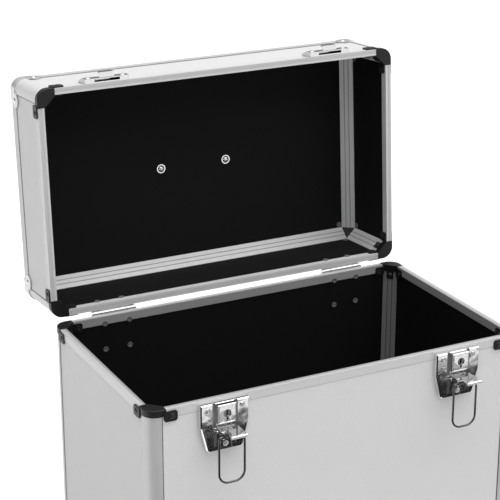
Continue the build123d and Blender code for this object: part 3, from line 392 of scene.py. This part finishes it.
def plated_finish(name, colour, gloss, wear, on_lid=False, waves=SOFT_WAVES, sheen=1.0):
    """Plated steel. Gloss runs from 0, dull, to 1, mirror; wear from 0 to 1; sheen is the share of metal."""
    material, finish = new_material(name)
    point = finish.place(on_lid)
    drawn = finish.noise(finish.stretch(point, (0.35, 1.0, 1.0)), PLATE_DRAWN, 3.0, 0.6)
    ripples = finish.noise(point, PLATE_WAVES, 1.0)
    spots = finish.soft_step(finish.noise(point, PLATE_SPOTS, 2.0), 0.60, 0.74)
    level = 0.97 + 0.05 * drawn - 0.6 * wear * spots
    rough = 0.06 + 0.30 * (1.0 - gloss)
    finish.surface(base_color=finish.tone(colour, level), metallic=sheen,
                   roughness=rough + (0.03 + 0.10 * wear) * drawn + 0.10 * wear * spots,
                   normal=finish.bump(ripples, waves, finish.bump(drawn, DRAWN_HIGH * (1.15 - gloss))))
    return material


def rivet_finish(name, looks, on_lid=False, dark_rim=False):
    """Plated rivets with dull tails inside the case; those that hold the black rim corners may be black."""
    material, finish = new_material(name)
    point = finish.place(on_lid)
    x, y, z = finish.axes(point)
    grain = finish.noise(point, RIVET_GRAIN, 3.0, 0.6)
    spots = finish.soft_step(finish.noise(point, PLATE_SPOTS, 2.0), 0.56, 0.72)
    tail = finish.soft_step((HALF_W - abs(x)).least(HALF_D - abs(y)), *TAIL_DEPTH)
    colour = finish.blend(tail, looks.steel_colour, looks.tail_colour)
    shine = 1.0 - 0.5 * tail
    if dark_rim:
        near = finish.soft_step(abs(z - (Z_LID if on_lid else Z_RIM)), *DARK_RIVETS)
        colour = finish.blend(near, colour, [2.5 * c for c in looks.plastic_colour])
        shine = shine * (1.0 - 0.8 * near)
    finish.surface(base_color=finish.tone(colour, 0.92 + 0.12 * grain - 0.3 * spots), metallic=shine,
                   roughness=0.22 + 0.12 * grain + 0.14 * spots + 0.15 * tail,
                   normal=finish.bump(grain, FINE_HIGH))
    return material


def rubber_finish(name, looks):
    """Black rubber, dusty on its faces."""
    material, finish = new_material(name)
    point = finish.place()
    grain = finish.noise(point, RUBBER_GRAIN, 3.0, 0.7)
    dust = finish.soft_step(finish.noise(point, RUBBER_DUST, 3.0), 0.52, 0.7)
    rubber = finish.tone(looks.rubber_colour, 0.8 + 0.4 * grain)
    colour = finish.blend(0.12 * dust, rubber, DUST_COLOUR)
    finish.surface(base_color=colour, roughness=0.72 + 0.16 * grain, specular_ior_level=0.3,
                   normal=finish.bump(grain, RUBBER_HIGH))
    return material


# ---- the settings a user would change ----
class CaseLooks(bpy.types.PropertyGroup):
    """Colours and small sizes of the case's finishes."""

    board_colour: FloatVectorProperty(name="Board", description="Laminate on the outside of the boards",
                                      subtype="COLOR", min=0.0, max=1.0, default=(0.80, 0.80, 0.80))
    lining_colour: FloatVectorProperty(name="Lining", description="Sheet inside the box and the lid",
                                       subtype="COLOR", min=0.0, max=1.0, default=(0.0062, 0.0062, 0.0066))
    metal_colour: FloatVectorProperty(name="Extrusions", description="Satin aluminium edges, posts and rims",
                                      subtype="COLOR", min=0.0, max=1.0, default=(0.76, 0.76, 0.765))
    metal_sheen: FloatProperty(name="Extrusion sheen", min=0.0, max=1.0, default=0.28,
                               description="Share of mirror metal in rims and edges")
    tail_colour: FloatVectorProperty(name="Rivet tails", description="Clenched rivet ends inside the case",
                                     subtype="COLOR", min=0.0, max=1.0, default=(0.26, 0.26, 0.262))
    chrome_colour: FloatVectorProperty(name="Latches", description="Chromed plates and levers of the latches",
                                       subtype="COLOR", min=0.0, max=1.0, default=(0.84, 0.84, 0.845))
    keeper_colour: FloatVectorProperty(name="Keepers and hinges", description="Keepers and hinge leaves",
                                       subtype="COLOR", min=0.0, max=1.0, default=(0.62, 0.62, 0.625))
    plate_colour: FloatVectorProperty(name="Metal corners", description="Plated pressed corners",
                                      subtype="COLOR", min=0.0, max=1.0, default=(0.70, 0.70, 0.705))
    # painted reflection: the loops' bright wire is coloured dark, for the dark surround it reflects
    wire_colour_and_reflection: FloatVectorProperty(name="Loops", description="Bright wire of the latch loops",
                                     subtype="COLOR", min=0.0, max=1.0, default=(0.17, 0.17, 0.175))
    steel_colour: FloatVectorProperty(name="Rivets and screws", description="Rivets, screws, washers and pins",
                                      subtype="COLOR", min=0.0, max=1.0, default=(0.74, 0.74, 0.745))
    plastic_colour: FloatVectorProperty(name="Black corners", description="Moulded corners and handle",
                                        subtype="COLOR", min=0.0, max=1.0, default=(0.0085, 0.0085, 0.0090))
    rubber_colour: FloatVectorProperty(name="Feet", description="Rubber of the feet",
                                       subtype="COLOR", min=0.0, max=1.0, default=(0.016, 0.016, 0.017))
    emboss_pitch: FloatProperty(name="Emboss pitch", description="Distance between two embossed lines",
                                unit="LENGTH", min=0.0005, max=0.02, default=0.00175)
    emboss_depth: FloatProperty(name="Emboss depth", description="Height of the embossed diamonds",
                                unit="LENGTH", min=0.0, max=0.001, default=0.00016)


class CaseStage(bpy.types.PropertyGroup):
    """Camera and light."""

    camera_place: FloatVectorProperty(name="Camera", description="Where the camera stands", subtype="XYZ",
                                      unit="LENGTH", default=(-0.6827, -1.2640, 0.8810))
    camera_turn: FloatVectorProperty(name="Camera turn", description="Turns of the camera about X, Y and Z",
                                     subtype="EULER", unit="ROTATION",
                                     default=(radians(69.915), radians(-0.038), radians(-27.068)))
    lens: FloatProperty(name="Lens", description="Focal length in millimetres on a 36 mm sensor",
                        min=20.0, max=300.0, default=118.88)
    key_power: FloatProperty(name="Key light", description="Strength of the soft light from above the front",
                             min=0.0, max=10.0, default=2.1)
    sky_low: FloatProperty(name="Studio walls", description="Brightness of the studio round the case",
                           min=0.0, max=4.0, default=0.15)
    sky_high: FloatProperty(name="Studio ceiling", description="Added brightness straight above",
                            min=0.0, max=4.0, default=0.75)


# ---- operators: one for each group of pieces ----
class CASE_OT_boards(bpy.types.Operator):
    """Face the boards with embossed laminate"""

    bl_idname = "case.boards"
    bl_label = "Boards"

    def execute(self, context):
        looks = context.scene.case_looks
        for half, on_lid in (("base", False), ("lid", True)):
            paint(board_finish(f"{half}_long_board", looks, "xz", on_lid), f"{half}_front_panel",
                  f"{half}_back_panel")
            paint(board_finish(f"{half}_end_board", looks, "yz", on_lid), f"{half}_left_panel",
                  f"{half}_right_panel")
            flat = "base_bottom_panel" if half == "base" else "lid_top_panel"
            paint(board_finish(f"{half}_flat_board", looks, "xy", on_lid), flat)
        return {"FINISHED"}


class CASE_OT_linings(bpy.types.Operator):
    """Line the box and the lid with black sheet"""

    bl_idname = "case.linings"
    bl_label = "Linings"

    def execute(self, context):
        looks = context.scene.case_looks
        paint(lining_finish("base_sheet", looks, BASE_LINING_SHADE), "base_lining")
        paint(lining_finish("lid_sheet", looks, LID_LINING_SHADE), "lid_lining")
        return {"FINISHED"}


class CASE_OT_extrusions(bpy.types.Operator):
    """Brush the aluminium rims, posts and edges"""

    bl_idname = "case.extrusions"
    bl_label = "Extrusions"

    def execute(self, context):
        looks = context.scene.case_looks
        for half, on_lid in (("base", False), ("lid", True)):
            paint(extrusion_finish(f"{half}_long_rim", looks, "x", on_lid), f"{half}_front_rim",
                  f"{half}_back_rim")
            paint(extrusion_finish(f"{half}_end_rim", looks, "y", on_lid), f"{half}_left_rim",
                  f"{half}_right_rim")
            shade, sheen = LID_POST if on_lid else BASE_POST
            paint(extrusion_finish(f"{half}_post", looks, "z", on_lid, shade, sheen), f"{half}_corner_posts")
            edges = "base_bottom_edges" if half == "base" else "lid_top_edges"
            paint(extrusion_finish(f"{half}_edge", looks, "ring", on_lid, EDGE_SHADE), edges)
        return {"FINISHED"}


class CASE_OT_black_corners(bpy.types.Operator):
    """Mould the black rim corners and the blocks inside"""

    bl_idname = "case.black_corners"
    bl_label = "Black corners"

    def execute(self, context):
        material = plastic_finish("black_corner", context.scene.case_looks)
        paint(material, "base_rim_corners", "lid_rim_corners", "base_inner_corners", "lid_inner_corners")
        return {"FINISHED"}


class CASE_OT_metal_corners(bpy.types.Operator):
    """Plate the pressed corners"""

    bl_idname = "case.metal_corners"
    bl_label = "Metal corners"

    def execute(self, context):
        looks = context.scene.case_looks
        for half, on_lid, wear in (("base", False, 0.25), ("lid", True, 0.2)):
            plate = plated_finish(f"{half}_corner_plate", looks.plate_colour, gloss=0.5, wear=wear,
                                  on_lid=on_lid, sheen=CORNER_SHEEN)
            paint(plate, f"{half}_metal_corners")
        return {"FINISHED"}


class CASE_OT_rivets(bpy.types.Operator):
    """Finish the rivets"""

    bl_idname = "case.rivets"
    bl_label = "Rivets"

    def execute(self, context):
        looks = context.scene.case_looks
        for half, on_lid in (("base", False), ("lid", True)):
            paint(rivet_finish(f"{half}_corner_rivet", looks, on_lid, dark_rim=True), f"{half}_corner_rivets")
            paint(rivet_finish(f"{half}_rivet", looks, on_lid), f"{half}_hardware_rivets")
        return {"FINISHED"}


class CASE_OT_hinges(bpy.types.Operator):
    """Plate the hinge leaves and their pins"""

    bl_idname = "case.hinges"
    bl_label = "Hinges"

    def execute(self, context):
        looks = context.scene.case_looks
        leaf = plated_finish("hinge_leaf", looks.keeper_colour, gloss=0.7, wear=0.25)
        paint(leaf, *(f"hinge_{side}_{half}_leaf" for side in ("left", "right") for half in ("base", "lid")))
        paint(plated_finish("hinge_pin", looks.steel_colour, gloss=0.8, wear=0.2), "hinge_pins")
        return {"FINISHED"}


class CASE_OT_latches(bpy.types.Operator):
    """Chrome the latches and levers, and finish loops and locks"""

    bl_idname = "case.latches"
    bl_label = "Latches"

    def execute(self, context):
        looks = context.scene.case_looks
        chrome = plated_finish("latch_chrome", looks.chrome_colour, gloss=0.96, wear=0.04, waves=DEEP_WAVES)
        # the loops' dark colour is a painted reflection of a dark surround
        wire = plated_finish("loop_wire", looks.wire_colour_and_reflection, gloss=0.9, wear=0.1, waves=WIRE_WAVES)
        for side in ("left", "right"):
            paint(chrome, f"latch_{side}_plate", f"latch_{side}_lock_plate", f"latch_{side}_lever")
            paint(wire, f"latch_{side}_loop")
        paint(chrome, "latch_lever_pins")
        barrel = plated_finish("lock_barrel", BARREL_COLOUR, gloss=0.6, wear=0.5)
        paint(barrel, "latch_left_lock_barrel", "latch_right_lock_barrel")
        return {"FINISHED"}


class CASE_OT_keepers(bpy.types.Operator):
    """Plate the keepers on the lid"""

    bl_idname = "case.keepers"
    bl_label = "Keepers"

    def execute(self, context):
        looks = context.scene.case_looks
        keeper = plated_finish("keeper_chrome", looks.keeper_colour, gloss=0.93, wear=0.05, on_lid=True,
                               waves=KEEPER_WAVES)
        paint(keeper, "keeper_left", "keeper_right")
        return {"FINISHED"}


class CASE_OT_handle(bpy.types.Operator):
    """Finish the handle, its pins, screws and washers"""

    bl_idname = "case.handle"
    bl_label = "Handle"

    def execute(self, context):
        looks = context.scene.case_looks
        paint(plastic_finish("handle_plastic", looks), "handle_base", "handle_grip")
        screw = plated_finish("handle_screw", looks.steel_colour, gloss=0.8, wear=0.2)
        paint(screw, "handle_pins", "handle_screws", "handle_washers")
        return {"FINISHED"}


class CASE_OT_feet(bpy.types.Operator):
    """Finish the feet and their screws"""

    bl_idname = "case.feet"
    bl_label = "Feet"

    def execute(self, context):
        looks = context.scene.case_looks
        paint(rubber_finish("foot_rubber", looks), "base_feet")
        paint(plated_finish("foot_screw", looks.steel_colour, gloss=0.6, wear=0.4), "base_foot_screws")
        return {"FINISHED"}


class CASE_OT_stage(bpy.types.Operator):
    """Set the floor, the light and the camera"""

    bl_idname = "case.stage"
    bl_label = "Stage"

    def execute(self, context):
        light = context.scene.case_stage
        lay_floor()
        light_studio(context.scene, light)
        hang_key_light(context.scene, light)
        set_flags()
        stand_camera(context.scene, light)
        context.scene.view_settings.view_transform = "Standard"
        return {"FINISHED"}


def lay_floor():
    """A wide pale floor that reads as white behind the case and keeps its shadow."""
    mesh = bpy.data.meshes.new("floor")
    shape = bmesh.new()
    bmesh.ops.create_circle(shape, cap_ends=True, segments=96, radius=FLOOR_REACH)
    shape.to_mesh(mesh)
    shape.free()
    floor = bpy.data.objects.new("floor", mesh)
    bpy.context.scene.collection.objects.link(floor)
    material, finish = new_material("studio_floor")
    seen = finish.node("ShaderNodeLightPath", output="Is Camera Ray")
    for ray in ("Is Glossy Ray", "Is Transmission Ray"):
        seen = seen.most(finish.node("ShaderNodeLightPath", output=ray))
    matt = finish.node("ShaderNodeBsdfDiffuse", inputs={"Color": plain_grey(FLOOR_TONE)})
    glow = finish.node("ShaderNodeEmission", inputs={"Color": plain_grey(1.0), "Strength": FLOOR_GLOW * seen})
    both = finish.node("ShaderNodeAddShader", inputs={0: matt, 1: glow})
    finish.node("ShaderNodeOutputMaterial", inputs={"Surface": both})
    mesh.materials.append(material)


def light_studio(scene, light):
    """A pale studio: bright overhead, greyer round the walls and darkest behind the camera."""
    world = bpy.data.worlds.new("studio")
    world.use_nodes = True
    scene.world = world
    finish = Finish(world.node_tree)
    direction = finish.node("ShaderNodeTexCoord", output="Generated")
    x, y, z = finish.axes(direction)
    rise = z.most(0.0)
    behind = finish.soft_step(BEHIND_LEAN * x + y, *BEHIND)
    level = (light.sky_low + light.sky_high * rise) * (1.0 + SKY_SLOPE * x)
    level = level * (1.0 - BEHIND_DARK * behind * finish.soft_step(rise, *LOW_WALLS))
    shine = finish.node("ShaderNodeBackground", inputs={"Color": plain_grey(1.0), "Strength": level})
    finish.node("ShaderNodeOutputWorld", inputs={"Surface": shine})


def hang_key_light(scene, light):
    """A broad soft light high in front, a little to the right."""
    lamp = bpy.data.lights.new("key", "SUN")
    lamp.energy = light.key_power
    lamp.angle = radians(KEY_SPREAD)
    key = bpy.data.objects.new("key", lamp)
    key.rotation_euler = [radians(turn) for turn in KEY_TURN]
    scene.collection.objects.link(key)


def set_flags():
    """Black cloths that only reflections see: strips on the floor in front, and one behind the camera."""
    shape = bmesh.new()
    for near, far in FLAG_STRIPS:
        lay = [(-FLAG_REACH, far), (FLAG_REACH, far), (FLAG_REACH, near), (-FLAG_REACH, near)]
        shape.faces.new([shape.verts.new((x, y, FLAG_LIFT)) for x, y in lay])
    shape.faces.new([shape.verts.new((x, FLAG_BACK_Y, z)) for x, z in FLAG_BACK])
    mesh = bpy.data.meshes.new("flags")
    shape.to_mesh(mesh)
    shape.free()
    flags = bpy.data.objects.new("flags", mesh)
    bpy.context.scene.collection.objects.link(flags)
    flags.visible_camera = False
    flags.visible_diffuse = False
    flags.visible_transmission = False
    flags.visible_shadow = False
    material, finish = new_material("flag_cloth")
    cloth = finish.node("ShaderNodeBsdfDiffuse", inputs={"Color": plain_grey(FLAG_TONE)})
    finish.node("ShaderNodeOutputMaterial", inputs={"Surface": cloth})
    mesh.materials.append(material)


def stand_camera(scene, light):
    lens = bpy.data.cameras.new("camera")
    lens.lens = light.lens
    lens.sensor_width = SENSOR
    lens.clip_end = VIEW_END
    camera = bpy.data.objects.new("camera", lens)
    camera.location = light.camera_place
    camera.rotation_euler = light.camera_turn
    scene.collection.objects.link(camera)
    scene.camera = camera


PIECE_OPERATORS = (CASE_OT_boards, CASE_OT_linings, CASE_OT_extrusions, CASE_OT_black_corners,
                   CASE_OT_metal_corners, CASE_OT_rivets, CASE_OT_hinges, CASE_OT_latches, CASE_OT_keepers,
                   CASE_OT_handle, CASE_OT_feet, CASE_OT_stage)


class CASE_PT_panel(bpy.types.Panel):
    """Lists the steps that dress the case, and its settings."""

    bl_idname = "CASE_PT_panel"
    bl_label = "Record case"
    bl_space_type = "VIEW_3D"
    bl_region_type = "UI"
    bl_category = "Case"

    def draw(self, context):
        for group in (context.scene.case_looks, context.scene.case_stage):
            for name in group.__annotations__:
                self.layout.prop(group, name)
        for operator in PIECE_OPERATORS:
            self.layout.operator(operator.bl_idname)


CLASSES = (CaseLooks, CaseStage, *PIECE_OPERATORS, CASE_PT_panel)


def register():
    for made in CLASSES:
        bpy.utils.register_class(made)
    bpy.types.Scene.case_looks = PointerProperty(type=CaseLooks)
    bpy.types.Scene.case_stage = PointerProperty(type=CaseStage)


def unregister():
    del bpy.types.Scene.case_stage
    del bpy.types.Scene.case_looks
    for made in reversed(CLASSES):
        bpy.utils.unregister_class(made)


def main():
    """Dress the case."""
    register()
    for operator in PIECE_OPERATORS:
        getattr(bpy.ops.case, operator.bl_idname.split(".")[1])()


if __name__ == "__main__":
    main()
